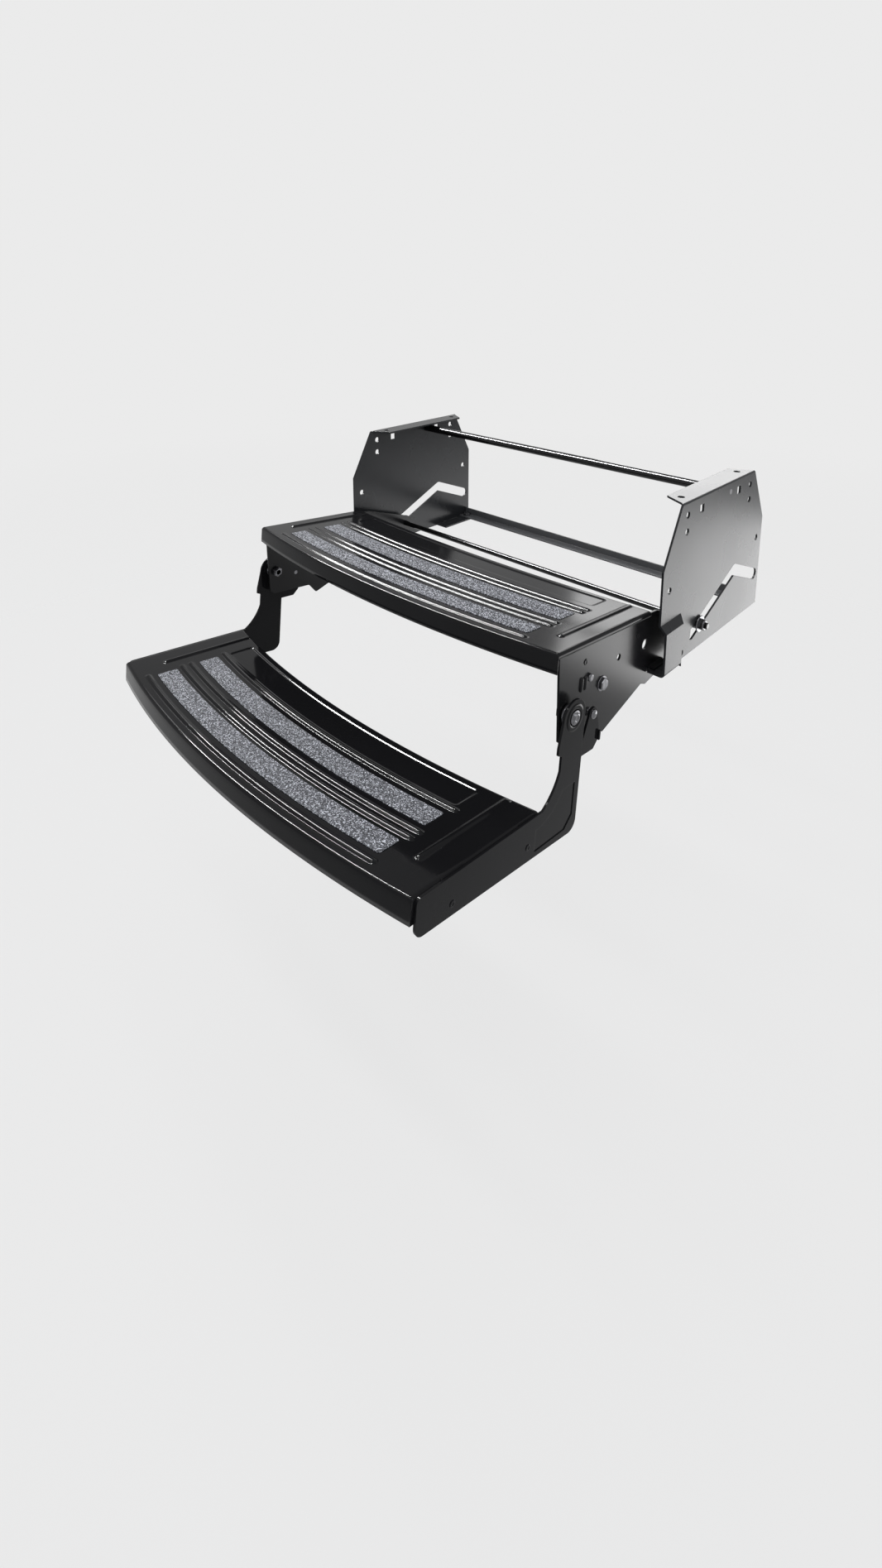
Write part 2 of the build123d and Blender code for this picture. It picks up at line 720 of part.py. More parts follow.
with BuildPart() as slide_rod:
    with BuildSketch(side_plane(-slide_rod_length / 2)):
        with Locations((slide_rod_y, slide_rod_z)):
            Circle(slide_rod_radius)
    extrude(amount=slide_rod_length)
    chamfer(slide_rod.edges().filter_by(GeomType.CIRCLE), side_clearance)
save_step(slide_rod.part, "slide_rod")

slide_pieces = (
    ("slide_bushes", plate_outer_x, bush_length, slot_bush_radius, False),
    ("slide_washers", washer_inner_x, washer_thickness, washer_radius + washer_thickness, False),
    ("slide_nuts", nut_inner_x, nut_height, nut_radius, True),
)

for name, inner_x, length, radius, hexagonal in slide_pieces:
    with BuildPart() as piece:
        for side, sign in sides:
            with BuildSketch(layer_plane(sign, inner_x, length)):
                with Locations((slide_rod_y, slide_rod_z)):
                    if hexagonal:
                        RegularPolygon(radius, 6)
                    else:
                        Circle(radius)
                    Circle(slide_rod_radius, mode=Mode.SUBTRACT)
            extrude(amount=length)
    save_step(piece.part, name)

# Pivot bolts of the lower step, with a spacer washer and a nut on each side

with BuildPart() as pivot_bolts:
    pivot_shank_inner = plate_inner_x - nut_height
    pivot_shank_length = arm_outer_x + running_gap - pivot_shank_inner
    for side, sign in sides:
        with BuildSketch(layer_plane(sign, pivot_shank_inner, pivot_shank_length)):
            with Locations((pivot_y, pivot_z)):
                Circle(pivot_radius)
        extrude(amount=pivot_shank_length)
        with BuildSketch(layer_plane(sign, arm_outer_x + running_gap, pivot_head_height)):
            with Locations((pivot_y, pivot_z)):
                Circle(pivot_head_radius)
        extrude(amount=pivot_head_height)
save_step(pivot_bolts.part, "pivot_bolts")

with BuildPart() as pivot_washers:
    for side, sign in sides:
        with BuildSketch(layer_plane(sign, plate_outer_x, pivot_washer_thickness)):
            with Locations((pivot_y, pivot_z)):
                Circle(pivot_washer_radius)
                Circle(pivot_radius, mode=Mode.SUBTRACT)
        extrude(amount=pivot_washer_thickness)
save_step(pivot_washers.part, "pivot_washers")

with BuildPart() as pivot_nuts:
    for side, sign in sides:
        with BuildSketch(layer_plane(sign, plate_inner_x - nut_height, nut_height)):
            with Locations((pivot_y, pivot_z)):
                RegularPolygon(nut_radius, 6)
                Circle(pivot_radius, mode=Mode.SUBTRACT)
        extrude(amount=nut_height)
save_step(pivot_nuts.part, "pivot_nuts")

# Stop bolts, studs and latch pins, each standing out of the side plates

with BuildPart() as stop_bolts:
    for side, sign in sides:
        with BuildSketch(layer_plane(sign, plate_inner_x - nut_height, plate_thickness + nut_height)):
            with Locations((stop_bolt_y, stop_bolt_z)):
                Circle(rod_bolt_radius)
        extrude(amount=plate_thickness + nut_height)
        with BuildSketch(layer_plane(sign, plate_outer_x, bolt_head_height)):
            with Locations((stop_bolt_y, stop_bolt_z)):
                RegularPolygon(nut_radius, 6)
        extrude(amount=bolt_head_height)
        with BuildSketch(layer_plane(sign, plate_inner_x - nut_height, nut_height)):
            with Locations((stop_bolt_y, stop_bolt_z)):
                RegularPolygon(nut_radius, 6)
        extrude(amount=nut_height)
save_step(stop_bolts.part, "stop_bolts")

with BuildPart() as plate_studs:
    for side, sign in sides:
        with BuildSketch(layer_plane(sign, plate_inner_x, plate_thickness)):
            with Locations((plate_stud_y, plate_stud_z)):
                Circle(latch_pin_radius)
        extrude(amount=plate_thickness)
        with BuildSketch(layer_plane(sign, plate_outer_x, plate_stud_height)):
            with Locations((plate_stud_y, plate_stud_z)):
                Circle(plate_stud_radius)
        extrude(amount=plate_stud_height)
save_step(plate_studs.part, "plate_studs")

latch_outer_x = arm_inner_x + plate_thickness

with BuildPart() as latch_pins:
    for side, sign in sides:
        pin_length = latch_outer_x + running_gap - plate_inner_x
        with BuildSketch(layer_plane(sign, plate_inner_x, pin_length)):
            with Locations((latch_pin_y, latch_pin_z)):
                Circle(latch_pin_radius)
        extrude(amount=pin_length)
        with BuildSketch(layer_plane(sign, latch_outer_x + running_gap, pin_head_height)):
            with Locations((latch_pin_y, latch_pin_z)):
                Circle(pin_head_radius)
        extrude(amount=pin_head_height)
        with BuildSketch(layer_plane(sign, plate_outer_x, pivot_washer_thickness)):
            with Locations((latch_pin_y, latch_pin_z)):
                Circle(latch_pin_radius + washer_thickness)
        extrude(amount=pivot_washer_thickness)
save_step(latch_pins.part, "latch_pins")

# Latches: each hangs from its pin and keeps the arm's rear edge from swinging back

latch_front_y = pivot_y + arm_rear_reach + running_gap
latch_foot_bottom = latch_pin_z - latch_foot_drop
latch_rear_y = latch_pin_y + latch_foot_rear

for side, sign in sides:
    with BuildPart() as latch:
        with BuildSketch(layer_plane(sign, arm_inner_x, plate_thickness)) as outline:
            with BuildLine():
                Polyline(
                    (latch_pin_y - latch_hub_radius, latch_pin_z),
                    (latch_pin_y + latch_hub_radius, latch_pin_z),
                    (latch_rear_y, latch_foot_bottom + latch_foot_height + latch_step),
                    (latch_rear_y, latch_foot_bottom + 2 * latch_step),
                    (latch_rear_y - latch_step, latch_foot_bottom + latch_step),
                    (latch_rear_y - 2 * latch_step, latch_foot_bottom),
                    (latch_front_y, latch_foot_bottom),
                    (latch_front_y, latch_foot_bottom + latch_foot_height),
                    close=True,
                )
            make_face()
            with Locations((latch_pin_y, latch_pin_z)):
                Circle(latch_hub_radius)
                Circle(latch_pin_radius + pin_clearance, mode=Mode.SUBTRACT)
        extrude(amount=plate_thickness)
        # A thumb tab turned outwards at the rear edge
        with BuildSketch(layer_plane(sign, arm_inner_x, latch_thumb_reach)):
            with Locations(
                (latch_rear_y - plate_thickness / 2,
                 latch_foot_bottom + 2 * latch_step + latch_thumb_height / 2)
            ):
                Rectangle(plate_thickness, latch_thumb_height)
        extrude(amount=latch_thumb_reach)
    save_step(latch.part, side + "_latch")

# Step arms: one plate each side from the pivot down to the lower tread's front

arm_top_edge_z = lower_tread_top_z - arm_top_edge_drop
arm_nose_y = lower_front_y + lower_front_bulge + arm_nose_setback

for side, sign in sides:
    with BuildPart() as arm:
        with BuildSketch(layer_plane(sign, arm_inner_x, plate_thickness)) as outline:
            with BuildLine():
                Polyline(
                    (pivot_y - arm_waist_reach, pivot_z - arm_waist_drop),
                    (pivot_y - arm_waist_reach, pivot_z - arm_shoulder_low - plate_thickness),
                    (pivot_y - arm_front_reach, pivot_z - arm_shoulder_low),
                    (pivot_y - arm_front_reach, pivot_z - arm_shoulder_top),
                    (pivot_y - arm_top_radius, pivot_z),
                    (pivot_y + arm_rear_reach, pivot_z),
                    (pivot_y + arm_rear_reach, pivot_z - arm_heel_bottom),
                    (arm_nose_y, pivot_z - arm_nose_bottom),
                    (arm_nose_y, arm_top_edge_z),
                    (pivot_y - arm_throat_reach, arm_top_edge_z),
                )
                ThreePointArc(
                    (pivot_y - arm_throat_reach, arm_top_edge_z),
                    (pivot_y - arm_crook_reach, pivot_z - arm_crook_drop),
                    (pivot_y - arm_waist_reach, pivot_z - arm_waist_drop),
                )
            make_face()
            fillet(corner(outline, pivot_y + arm_rear_reach, pivot_z - arm_heel_bottom), arm_heel_radius)
            fillet(corner(outline, arm_nose_y, pivot_z - arm_nose_bottom), arm_nose_radius)
            fillet(corner(outline, arm_nose_y, arm_top_edge_z), arm_nose_radius / 2)
            with Locations((pivot_y, pivot_z)):
                Circle(arm_top_radius)
                Circle(pivot_radius + pin_clearance, mode=Mode.SUBTRACT)
            with Locations((lower_rivet_front_y, lower_rivet_z), (lower_rivet_rear_y, lower_rivet_z)):
                Circle(rivet_radius, mode=Mode.SUBTRACT)
        extrude(amount=plate_thickness)
        # A shallow pressed field in the outer face of the crook
        with BuildSketch(layer_plane(sign, arm_outer_x - emboss_relief, 2 * emboss_relief)) as field:
            field_rear_y = pivot_y + arm_rear_reach - emboss_margin
            field_front_y = pivot_y - emboss_front_reach
            field_top_z = pivot_z - emboss_top_drop
            field_bottom_z = pivot_z - emboss_bottom_drop
            with BuildLine():
                Polyline(
                    (pivot_y - arm_waist_reach + emboss_margin, field_top_z),
                    (field_rear_y, field_top_z),
                    (field_rear_y, field_bottom_z + arm_heel_radius),
                    (field_rear_y - arm_heel_radius, field_bottom_z),
                    (field_front_y, field_bottom_z),
                    (field_front_y, arm_top_edge_z - 2 * emboss_margin),
                )
                ThreePointArc(
                    (field_front_y, arm_top_edge_z - 2 * emboss_margin),
                    (pivot_y - arm_crook_reach + emboss_margin,
                     pivot_z - arm_crook_drop - 2 * emboss_margin),
                    (pivot_y - arm_waist_reach + emboss_margin, field_top_z),
                )
            make_face()
        extrude(amount=2 * emboss_relief, mode=Mode.SUBTRACT)
    save_step(arm.part, side + "_step_arm")

# Rivets that hold the lower tread to the arms

with BuildPart() as lower_tread_rivets:
    for side, sign in sides:
        shank_inner = lower_half - sheet_thickness
        shank_length = sheet_thickness + plate_thickness
        for y in (lower_rivet_front_y, lower_rivet_rear_y):
            with BuildSketch(layer_plane(sign, shank_inner, shank_length)):
                with Locations((y, lower_rivet_z)):
                    Circle(rivet_radius)
            extrude(amount=shank_length)
            for head_inner in (arm_outer_x, shank_inner - rivet_head_height):
                with BuildSketch(layer_plane(sign, head_inner, rivet_head_height)):
                    with Locations((y, lower_rivet_z)):
                        Circle(rivet_head_radius)
                extrude(amount=rivet_head_height)
save_step(lower_tread_rivets.part, "lower_tread_rivets")
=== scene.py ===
# %% [markdown]
# # A caravan pull out step
#
# Two pressed steel treads hang between two side brackets. The CAD model already holds every
# piece at its true size, so this lesson dresses it: it gives the sheet metal its soft pressed
# beads, the bolts their chamfers, and every surface its paint, grit or wear.

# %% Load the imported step
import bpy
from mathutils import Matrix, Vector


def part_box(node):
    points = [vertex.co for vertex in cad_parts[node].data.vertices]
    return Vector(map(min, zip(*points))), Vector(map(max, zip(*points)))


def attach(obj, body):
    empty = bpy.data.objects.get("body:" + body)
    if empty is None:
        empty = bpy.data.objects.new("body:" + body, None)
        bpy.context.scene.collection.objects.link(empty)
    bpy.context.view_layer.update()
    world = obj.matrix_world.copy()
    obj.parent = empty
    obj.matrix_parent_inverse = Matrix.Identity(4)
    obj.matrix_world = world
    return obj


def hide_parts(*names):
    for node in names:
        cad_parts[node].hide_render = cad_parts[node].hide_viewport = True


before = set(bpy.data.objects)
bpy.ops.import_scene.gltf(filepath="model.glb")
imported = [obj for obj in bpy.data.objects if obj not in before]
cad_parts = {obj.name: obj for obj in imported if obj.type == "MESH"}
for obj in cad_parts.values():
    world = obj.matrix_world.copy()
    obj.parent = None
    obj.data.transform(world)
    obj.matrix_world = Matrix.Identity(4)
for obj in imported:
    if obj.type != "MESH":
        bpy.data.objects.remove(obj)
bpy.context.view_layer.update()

# %% Tools for the lesson
import math
import bmesh
import bpy
from mathutils import Vector

MM = 0.001
scene = bpy.context.scene
print("one unit is a metre, and MM is", MM)

# %% [markdown]
# ## The camera
#
# The reference was taken from the step's front right, a little above it. Eight matching corners
# left and right fix where such a camera stands. A lens shift keeps the bracket's uprights
# parallel, as a product photographer does, so the camera itself looks almost level.

# %% Place the camera
FRAME_HEIGHT, FOCAL_PIXELS, HORIZON_ROW = 1895, 915.22, 500
SENSOR = 36
camera_data = bpy.data.cameras.new("studio_camera")
camera = bpy.data.objects.new("studio_camera", camera_data)
scene.collection.objects.link(camera)
scene.camera = camera
heading, pitch = math.radians(44.26), math.radians(11.24)
camera.location = (0.76133, -1.03246, 0.31398)
camera.rotation_euler = (math.pi / 2 - pitch, 0, heading)
camera_data.lens = SENSOR * FOCAL_PIXELS / FRAME_HEIGHT
camera_data.shift_y = (HORIZON_ROW - FRAME_HEIGHT / 2) / FRAME_HEIGHT
camera_data.clip_end = 50
print("lens", round(camera_data.lens, 2), "mm, shift", round(camera_data.shift_y, 3))

# %% [markdown]
# ## Node helpers
#
# Every finish below is a small node graph. Two helpers keep those graphs short: one starts a
# material with its main shader, and one adds a node with its settings filled in.


# %% Helpers for materials
def new_finish(name):
    """A fresh material, its node tree and its main shader."""
    finish = bpy.data.materials.new(name)
    finish.use_nodes = True
    return finish, finish.node_tree, finish.node_tree.nodes["Principled BSDF"]


def add_node(tree, kind, **values):
    """Adds a node. Names of inputs are given with underscores for spaces."""
    node = tree.nodes.new(kind)
    for key, value in values.items():
        if hasattr(node, key):
            setattr(node, key, value)
        else:
            node.inputs[key.replace("_", " ")].default_value = value
    return node


def ramp(tree, source, stops):
    """A colour ramp over a value: stops are (place, grey or colour)."""
    node = tree.nodes.new("ShaderNodeValToRGB")
    tree.links.new(source, node.inputs["Fac"])
    while len(node.color_ramp.elements) < len(stops):
        node.color_ramp.elements.new(0.5)
    for element, (place, colour) in zip(node.color_ramp.elements, stops):
        element.position = place
        element.color = (colour, colour, colour, 1) if isinstance(colour, float) else (*colour, 1)
    return node.outputs["Color"]


print("node helpers ready")

# %% [markdown]
# ## The room
#
# Gloss paint shows the room more than itself. So mirrored rays and rays that pass through
# something find the same pale backdrop that the camera sees. Every other ray finds a dimmer
# light, which leaves black paint black.


# %% Paint the room
def shows_backdrop(tree):
    """Is 1 for a ray that is seen, mirrored or passed through, and 0 for any other."""
    rays = add_node(tree, "ShaderNodeLightPath")
    straight = add_node(tree, "ShaderNodeMath", operation="MAXIMUM")
    tree.links.new(rays.outputs["Is Camera Ray"], straight.inputs[0])
    tree.links.new(rays.outputs["Is Transmission Ray"], straight.inputs[1])
    either = add_node(tree, "ShaderNodeMath", operation="MAXIMUM")
    tree.links.new(straight.outputs[0], either.inputs[0])
    tree.links.new(rays.outputs["Is Glossy Ray"], either.inputs[1])
    return either.outputs[0]


BACKDROP = (0.83, 0.83, 0.83, 1)
FILL = (0.42, 0.43, 0.45, 1)
world = bpy.data.worlds.new("studio")
scene.world = world
world.use_nodes = True
tree = world.node_tree
shown = add_node(tree, "ShaderNodeMix", data_type="RGBA")
shown.inputs["A"].default_value = FILL
shown.inputs["B"].default_value = BACKDROP
tree.links.new(shows_backdrop(tree), shown.inputs["Factor"])
tree.links.new(shown.outputs["Result"], tree.nodes["Background"].inputs["Color"])
scene.view_settings.view_transform = "Standard"
print("room painted, backdrop", BACKDROP[0])

# %% [markdown]
# The floor is one wide disc. It fades out towards its rim, so no edge shows against the backdrop,
# and it keeps a faint shadow because part of it is an ordinary matt surface.

# %% Lay the floor
FLOOR_Z, FLOOR_RADIUS = -0.75, 4.0
FADE_START, FADE_END = 1.2, 3.8
MATT_SHARE = 0.10
bpy.ops.mesh.primitive_circle_add(
    vertices=96, radius=FLOOR_RADIUS, fill_type="NGON", location=(0, -0.2, FLOOR_Z))
floor = bpy.context.object
floor.name = "studio_floor"
floor_finish, tree, shader = new_finish("pale_floor")
shader.inputs["Base Color"].default_value = (0.80, 0.80, 0.80, 1)
shader.inputs["Roughness"].default_value = 0.9
glow = add_node(tree, "ShaderNodeEmission", Color=BACKDROP, Strength=1.0)
matt = add_node(tree, "ShaderNodeMixShader")
matt.inputs["Fac"].default_value = MATT_SHARE
tree.links.new(glow.outputs[0], matt.inputs[1])
tree.links.new(shader.outputs[0], matt.inputs[2])
found = add_node(tree, "ShaderNodeMixShader")
tree.links.new(shows_backdrop(tree), found.inputs["Fac"])
tree.links.new(shader.outputs[0], found.inputs[1])
tree.links.new(matt.outputs[0], found.inputs[2])
spot = add_node(tree, "ShaderNodeTexCoord")
reach = add_node(tree, "ShaderNodeVectorMath", operation="LENGTH")
tree.links.new(spot.outputs["Object"], reach.inputs[0])
span = add_node(tree, "ShaderNodeMapRange")
span.inputs["From Min"].default_value = FADE_START
span.inputs["From Max"].default_value = FADE_END
tree.links.new(reach.outputs["Value"], span.inputs["Value"])
clear = add_node(tree, "ShaderNodeBsdfTransparent")
fade = add_node(tree, "ShaderNodeMixShader")
tree.links.new(span.outputs[0], fade.inputs["Fac"])
tree.links.new(found.outputs[0], fade.inputs[1])
tree.links.new(clear.outputs[0], fade.inputs[2])
tree.links.new(fade.outputs[0], tree.nodes["Material Output"].inputs["Surface"])
floor.data.materials.append(floor_finish)
print("floor at", FLOOR_Z)

# %% [markdown]
# ## The lamps
#
# Four soft boxes light the step evenly. Four more panels are there for the gloss alone, as a
# photographer places them. A long tube overhead draws the thin white lines on beads and rolled
# edges, and a small lamp beside it draws a glint on each bead's end. A panel behind turns the right
# of the upper tread grey, and one low at the back right brightens the side plates and brackets.


# %% Hang the soft boxes
def soft_box(name, place, target, width, height, watts, gloss_only=False):
    """A rectangular lamp that faces a point. The camera never sees it."""
    data = bpy.data.lights.new(name, "AREA")
    data.shape = "RECTANGLE"
    data.size, data.size_y, data.energy = width, height, watts
    lamp = bpy.data.objects.new(name, data)
    scene.collection.objects.link(lamp)
    lamp.location = place
    lamp.rotation_euler = (Vector(target) - Vector(place)).to_track_quat("-Z", "Y").to_euler()
    lamp.visible_camera = False
    lamp.visible_diffuse = not gloss_only
    return lamp


aim = (0, -0.25, -0.15)
lamps = [
    soft_box("front_box", (0.1, -1.3, 2.0), aim, 2.6, 0.22, 24),
    soft_box("left_box", (-2.0, 0.2, 1.7), aim, 0.5, 1.6, 12),
    soft_box("back_box", (-0.2, 2.4, 1.9), aim, 1.8, 0.25, 10),
    soft_box("right_box", (2.2, 0.1, 0.9), (0.3, -0.2, -0.2), 0.8, 0.8, 8),
    soft_box("bead_tube", (-1.1, -0.4, 1.2), (-1.1, -0.4, 0), 1.6, 0.15, 240, True),
    soft_box("glint_lamp", (0.0, -0.4, 1.6), (0, -0.4, 0), 0.15, 0.15, 60, True),
    soft_box("tread_panel", (-0.3, 1.5, 0.75), aim, 1.1, 0.9, 17, True),
    soft_box("bracket_panel", (0.85, 1.3, -0.72), (0.85, 1.3, 0), 0.8, 1.5, 17, True),
]
print("lamps:", [lamp.name for lamp in lamps])

# %% [markdown]
# ## The black coat
#
# The treads, arms and side plates wear a thick black enamel, and the brackets a more satin one.
# Its colour is nearly black. Its specular level is kept low, because in so pale a room a real
# paint's would turn the treads grey. A faint orange peel keeps reflections from looking like
# glass, and noise varies the roughness a little, as dust and handling do.


# %% Mix the black enamel
def enamel(name, colour, rough, spread, peel, shine=0.08):
    """Paint with orange peel: rough is the mean roughness and spread how much it varies."""
    finish, tree, shader = new_finish(name)
    shader.inputs["Specular IOR Level"].default_value = shine
    where = add_node(tree, "ShaderNodeTexCoord")
    cloud = add_node(tree, "ShaderNodeTexNoise", Scale=9.0, Detail=4.0)
    tree.links.new(where.outputs["Object"], cloud.inputs["Vector"])
    tone = ramp(tree, cloud.outputs["Fac"], [(0.3, tuple(c * 0.85 for c in colour)), (0.7, colour)])
    tree.links.new(tone, shader.inputs["Base Color"])
    dust = add_node(tree, "ShaderNodeMapRange")
    dust.inputs["To Min"].default_value = rough - spread
    dust.inputs["To Max"].default_value = rough + spread
    tree.links.new(cloud.outputs["Fac"], dust.inputs["Value"])
    tree.links.new(dust.outputs[0], shader.inputs["Roughness"])
    grain = add_node(tree, "ShaderNodeTexNoise", Scale=420.0, Detail=2.0)
    tree.links.new(where.outputs["Object"], grain.inputs["Vector"])
    edge = add_node(tree, "ShaderNodeBevel", samples=4, Radius=0.0007)
    bump = add_node(tree, "ShaderNodeBump", Strength=peel, Distance=0.0004)
    tree.links.new(edge.outputs[0], bump.inputs["Normal"])
    tree.links.new(grain.outputs["Fac"], bump.inputs["Height"])
    tree.links.new(bump.outputs[0], shader.inputs["Normal"])
    return finish


black_enamel = enamel("black_enamel", (0.010, 0.010, 0.011), rough=0.085, spread=0.03, peel=0.008)
plate_enamel = enamel(
    "plate_enamel", (0.011, 0.011, 0.012), rough=0.24, spread=0.04, peel=0.02, shine=0.13)
bracket_enamel = enamel(
    "bracket_enamel", (0.022, 0.023, 0.025), rough=0.27, spread=0.05, peel=0.02, shine=0.14)
# The rear bar's enamel is a lighter grey than the black coat. That lift is painted sheen: it stands in
# for the light that the black bar mirrors.
bar_enamel_painted_sheen = enamel(
    "bar_enamel_painted_sheen", (0.095, 0.097, 0.101), rough=0.34, spread=0.06, peel=0.05, shine=0.2)
print("enamels mixed")

# %% [markdown]
# Shoes scuff the upper tread's field more than its rolled front. So its enamel is duller behind
# the front edge. That edge is a shallow parabola, which three small nodes follow.

# %% Scuff the upper tread
FRONT_CURVE, FRONT_AT, SCUFFED_AT, SCUFF = 0.327, -0.400, -0.396, 0.03
upper_enamel = enamel("upper_enamel", (0.012, 0.012, 0.013), rough=0.11, spread=0.03, peel=0.012)
tree = upper_enamel.node_tree
shader = tree.nodes["Principled BSDF"]
even = shader.inputs["Roughness"].links[0].from_socket
spot = add_node(tree, "ShaderNodeTexCoord")
place = add_node(tree, "ShaderNodeSeparateXYZ")
tree.links.new(spot.outputs["Object"], place.inputs[0])
square = add_node(tree, "ShaderNodeMath", operation="MULTIPLY")
tree.links.new(place.outputs["X"], square.inputs[0])
tree.links.new(place.outputs["X"], square.inputs[1])
behind_front = add_node(tree, "ShaderNodeMath", operation="MULTIPLY_ADD")
tree.links.new(square.outputs[0], behind_front.inputs[0])
behind_front.inputs[1].default_value = -FRONT_CURVE
tree.links.new(place.outputs["Y"], behind_front.inputs[2])
scuffed = add_node(tree, "ShaderNodeMapRange")
for socket, value in (("From Min", FRONT_AT), ("From Max", SCUFFED_AT), ("To Max", SCUFF)):
    scuffed.inputs[socket].default_value = value
tree.links.new(behind_front.outputs[0], scuffed.inputs["Value"])
duller = add_node(tree, "ShaderNodeMath", operation="ADD")
tree.links.new(even, duller.inputs[0])
tree.links.new(scuffed.outputs[0], duller.inputs[1])
tree.links.new(duller.outputs[0], shader.inputs["Roughness"])
print("upper enamel is duller behind its front")

# %% [markdown]
# ## Bright hardware and rods
#
# Bolts, washers and rivets are plated black, so they mirror more than paint does. A metallic
# shader with a fine scratch noise gives those glints.


# %% Mix the plating
def plating(name, colour, rough):
    """Dark plated steel with fine scratches."""
    finish, tree, shader = new_finish(name)
    shader.inputs["Metallic"].default_value = 0.85
    where = add_node(tree, "ShaderNodeTexCoord")
    streak = add_node(tree, "ShaderNodeTexNoise", Scale=160.0, Detail=5.0)
    tree.links.new(where.outputs["Object"], streak.inputs["Vector"])
    tone = ramp(tree, streak.outputs["Fac"], [(0.35, tuple(c * 0.6 for c in colour)), (0.65, colour)])
    tree.links.new(tone, shader.inputs["Base Color"])
    level = add_node(tree, "ShaderNodeMapRange")
    level.inputs["To Min"].default_value = rough * 0.7
    level.inputs["To Max"].default_value = rough * 1.3
    tree.links.new(streak.outputs["Fac"], level.inputs["Value"])
    tree.links.new(level.outputs[0], shader.inputs["Roughness"])
    return finish


dark_plating = plating("dark_plating", (0.16, 0.16, 0.17), 0.22)
rod_plating = plating("rod_plating", (0.025, 0.025, 0.026), 0.14)
print("plating mixed")

# %% [markdown]
# ## Grit strips
#
# The grips are strips of mineral grit on tape. Small cells of chance shade give the light and
# dark grains, and the same cells raise the surface, so the strip sparkles unevenly.

# %% Mix the grit
grit, tree, shader = new_finish("grit_tape")
where = add_node(tree, "ShaderNodeTexCoord")
grains = add_node(tree, "ShaderNodeTexVoronoi", Scale=880.0)
tree.links.new(where.outputs["Object"], grains.inputs["Vector"])
shade = add_node(tree, "ShaderNodeSeparateColor")
tree.links.new(grains.outputs["Color"], shade.inputs["Color"])
tone = ramp(tree, shade.outputs[0], [
    (0.0, (0.008, 0.009, 0.013)), (0.40, (0.050, 0.053, 0.064)), (0.72, (0.18, 0.188, 0.210)),
    (1.0, (0.75, 0.77, 0.84)),
])
tree.links.new(tone, shader.inputs["Base Color"])
shader.inputs["Roughness"].default_value = 0.85
shader.inputs["Specular IOR Level"].default_value = 0.15
bump = add_node(tree, "ShaderNodeBump", Strength=0.5, Distance=0.0005)
tree.links.new(shade.outputs[1], bump.inputs["Height"])
tree.links.new(bump.outputs[0], shader.inputs["Normal"])
print("grit mixed")

# %% [markdown]
# ## Dress the CAD pieces
#
# A CAD piece whose shape is already right only needs a finish, so its single material slot is
# filled here.


# %% Paint the carried over pieces
def paint(finish, *nodes):
    """Gives CAD pieces a finish."""
    for node in nodes:
        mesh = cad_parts[node].data
        mesh.materials.clear()
        mesh.materials.append(finish)


paint(bracket_enamel, "left_side_bracket", "right_side_bracket")
paint(bar_enamel_painted_sheen, "rear_cross_bar")
paint(plate_enamel, "left_upper_side_plate", "right_upper_side_plate")
paint(black_enamel, "upper_tread", "lower_tread", "left_step_arm", "right_step_arm",
      "left_latch", "right_latch")
paint(rod_plating, "top_cross_rod", "slide_rod")
paint(dark_plating, "top_rod_pins", "rear_bar_bolts", "upper_tread_rivets", "slide_bushes",
      "slide_washers", "slide_nuts", "pivot_bolts", "pivot_washers", "pivot_nuts", "stop_bolts",
      "plate_studs", "latch_pins", "lower_tread_rivets")
paint(grit, "upper_grip_front", "upper_grip_rear", "lower_grip_front", "lower_grip_rear")
print("painted", len(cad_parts), "pieces")

# %% [markdown]
# ## The tilt of the moving step
#
# The whole moving step is drawn level and then leans nose up by a few degrees about its slide
# rod, as it does on the real object when nobody stands on it. Its pieces below are laid out in
# level millimetres, and one function hangs them in place.

# %% Hang level pieces on the slide rod
low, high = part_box("slide_rod")
ROD_Y, ROD_Z = (low.y + high.y) / 2 / MM, (low.z + high.z) / 2 / MM
TILT = math.radians(5.6)


def hang(x, y, z):
    """A point of the level step, in millimetres, put where the tilted step holds it."""
    back, up = y - ROD_Y, z - ROD_Z
    return Vector((
        x, ROD_Y + back * math.cos(TILT) + up * math.sin(TILT),
        ROD_Z - back * math.sin(TILT) + up * math.cos(TILT),
    )) * MM


print("slide rod at", round(ROD_Y, 1), round(ROD_Z, 1), "mm")

# %% [markdown]
# ## The pressed treads
#
# A tread is one sheet of steel pressed between two dies. That makes soft shapes: rounded beads,
# shallow recesses with sloping walls, and a rolled front. A grid of points is the plain way to
# draw it, because each point only needs its height. Booleans would leave hard steps instead.


# %% Heights of the pressing
BEAD_WIDTH, BEAD_HEIGHT, BEAD_HALF, GRIP_HALF, SIDE_BEAD_X = 9.0, 2.6, 254.0, 246.0, 277.0
RECESS_CORNER = 5.0


def smooth_step(t):
    t = min(max(t, 0.0), 1.0)
    return t * t * (3 - 2 * t)


def ridge(distance, width, height):
    """The rounded cross-section of a bead."""
    t = min(distance / (width / 2), 1.0)
    return height * (1 - t * t)


def box_distance(x, back, half_length, start, end, radius):
    """How far a point lies outside a rounded rectangle, negative inside."""
    dx = abs(x) - half_length + radius
    dy = abs(back - (start + end) / 2) - (end - start) / 2 + radius
    return math.hypot(max(dx, 0), max(dy, 0)) + min(max(dx, dy), 0) - radius


